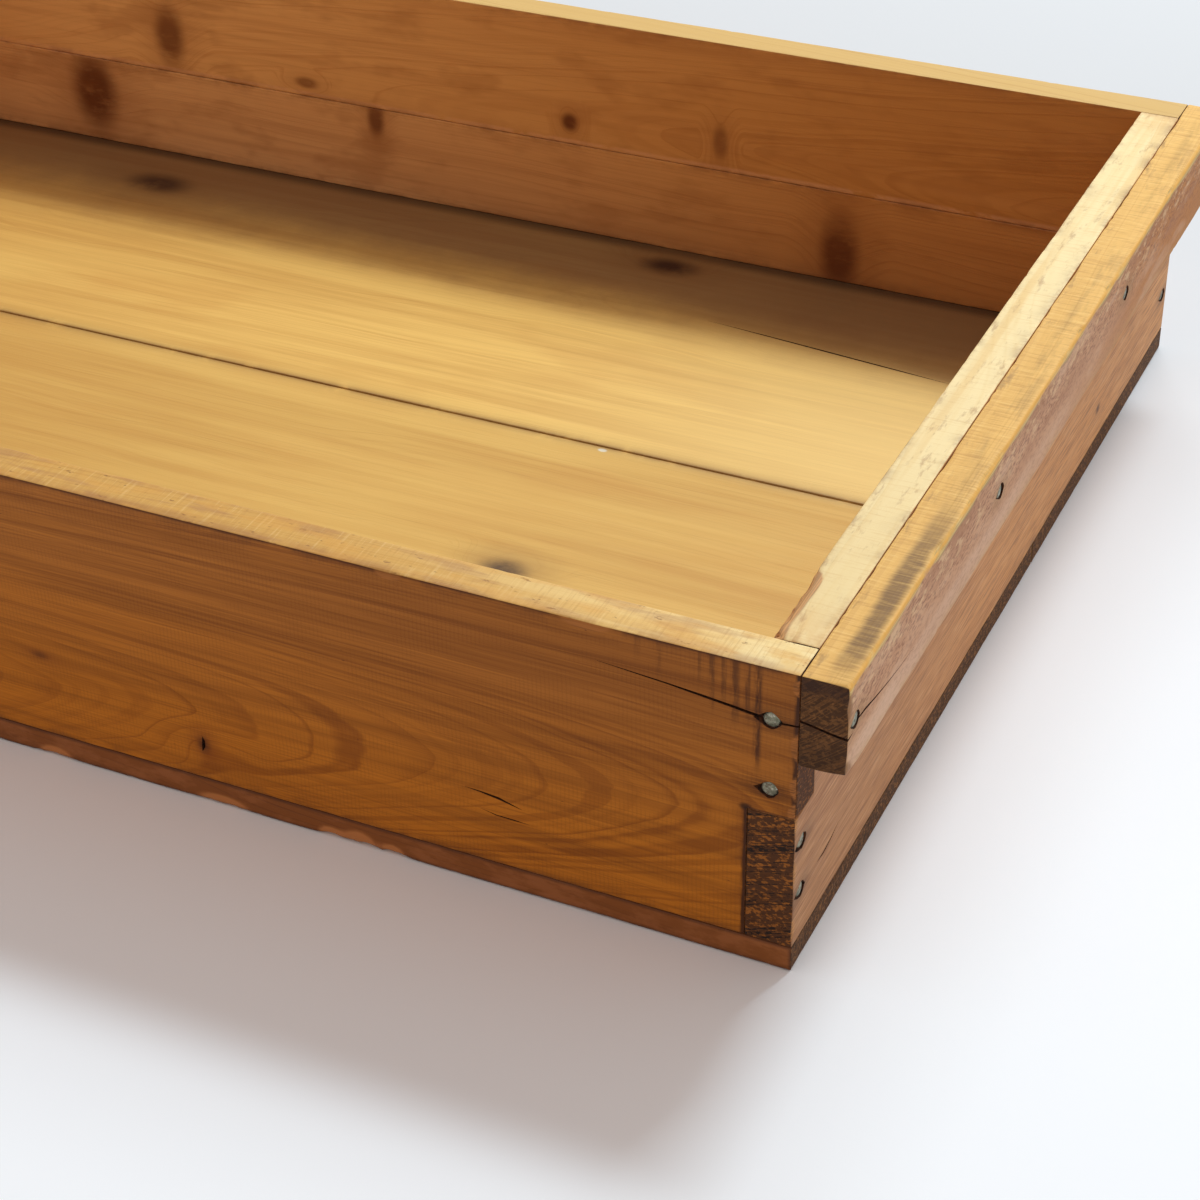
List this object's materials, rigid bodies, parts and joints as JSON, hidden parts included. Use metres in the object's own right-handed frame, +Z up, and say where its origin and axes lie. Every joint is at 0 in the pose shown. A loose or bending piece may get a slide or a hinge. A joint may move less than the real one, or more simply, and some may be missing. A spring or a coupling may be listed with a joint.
{
  "type": "open wooden tray box",
  "caption": "Open shallow rectangular wooden tray box with nailed lap-and-finger corners, a boarded floor and a lifting batten across the top of each end.",
  "frame": {"origin": "centre of the footprint, on the surface that the box stands on", "axes": "+X to the right end along the box's length, +Y to the back wall, +Z up; the plain face with the cathedral grain is the front, -Y"},
  "size_m": [0.539, 0.35, 0.09],
  "materials": {
    "varnished_front_wood": "varnished, worn satin",
    "back_wall_wood": "varnished, worn satin",
    "end_wall_wood": "sawn, lightly planed",
    "batten_wood": "rough sawn",
    "floor_wood": "planed, worn",
    "nail_steel": "dull, tarnished"
  },
  "bodies": {
    "root": {"back_floor_nails": "nail_steel", "back_left_finger_nails": "nail_steel", "back_left_lap_nails": "nail_steel", "back_lower_board": "back_wall_wood", "back_right_finger_nails": "nail_steel", "back_right_lap_nails": "nail_steel", "back_upper_board": "back_wall_wood", "front_floor_board": "floor_wood", "front_floor_nails": "nail_steel", "front_left_finger_nails": "nail_steel", "front_left_lap_nails": "nail_steel", "front_right_finger_nails": "nail_steel", "front_right_lap_nails": "nail_steel", "front_side_board": "varnished_front_wood", "left_batten": "batten_wood", "left_batten_nails": "nail_steel", "left_end_board": "end_wall_wood", "left_floor_nails": "nail_steel", "rear_floor_board": "floor_wood", "right_batten": "batten_wood", "right_batten_nails": "nail_steel", "right_end_board": "end_wall_wood", "right_floor_nails": "nail_steel"}
  },
  "joints": []
}
